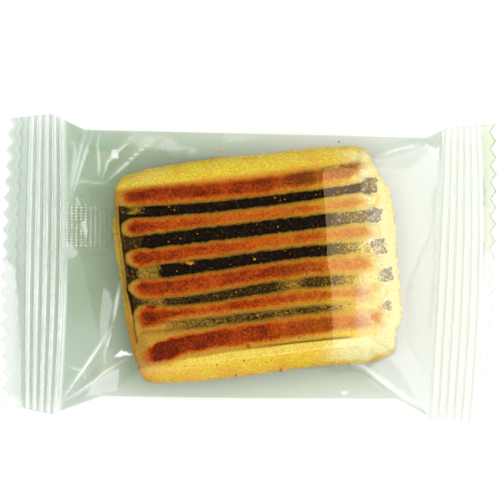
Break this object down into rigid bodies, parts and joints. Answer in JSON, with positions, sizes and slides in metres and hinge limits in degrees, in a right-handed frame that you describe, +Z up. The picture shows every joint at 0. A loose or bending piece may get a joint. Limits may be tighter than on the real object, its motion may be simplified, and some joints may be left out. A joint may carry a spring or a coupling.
{
  "type": "wrapped date maamoul biscuit",
  "caption": "Date-filled maamoul bar with a ridged, slit top, sealed in a clear flow-wrap sachet with crimped, zigzag-cut ends and a flat fin seal underneath.",
  "frame": {"origin": "middle of the pack's box in plan, on the surface it lies on", "axes": "+X along the pack from one crimped end to the other, +Y across it towards the flared upper side, +Z up from the fin seal through the bar's ridged face"},
  "size_m": [0.087, 0.0544, 0.0138],
  "materials": {
    "clear_film": "thin clear packaging film, glossy, with a faint green-grey tint",
    "baked_dough": "golden semolina dough, browned on its ridges",
    "date_paste": "dark, moist date paste"
  },
  "bodies": {
    "root": {"sealed_pack": "clear_film"}
  },
  "joints": []
}
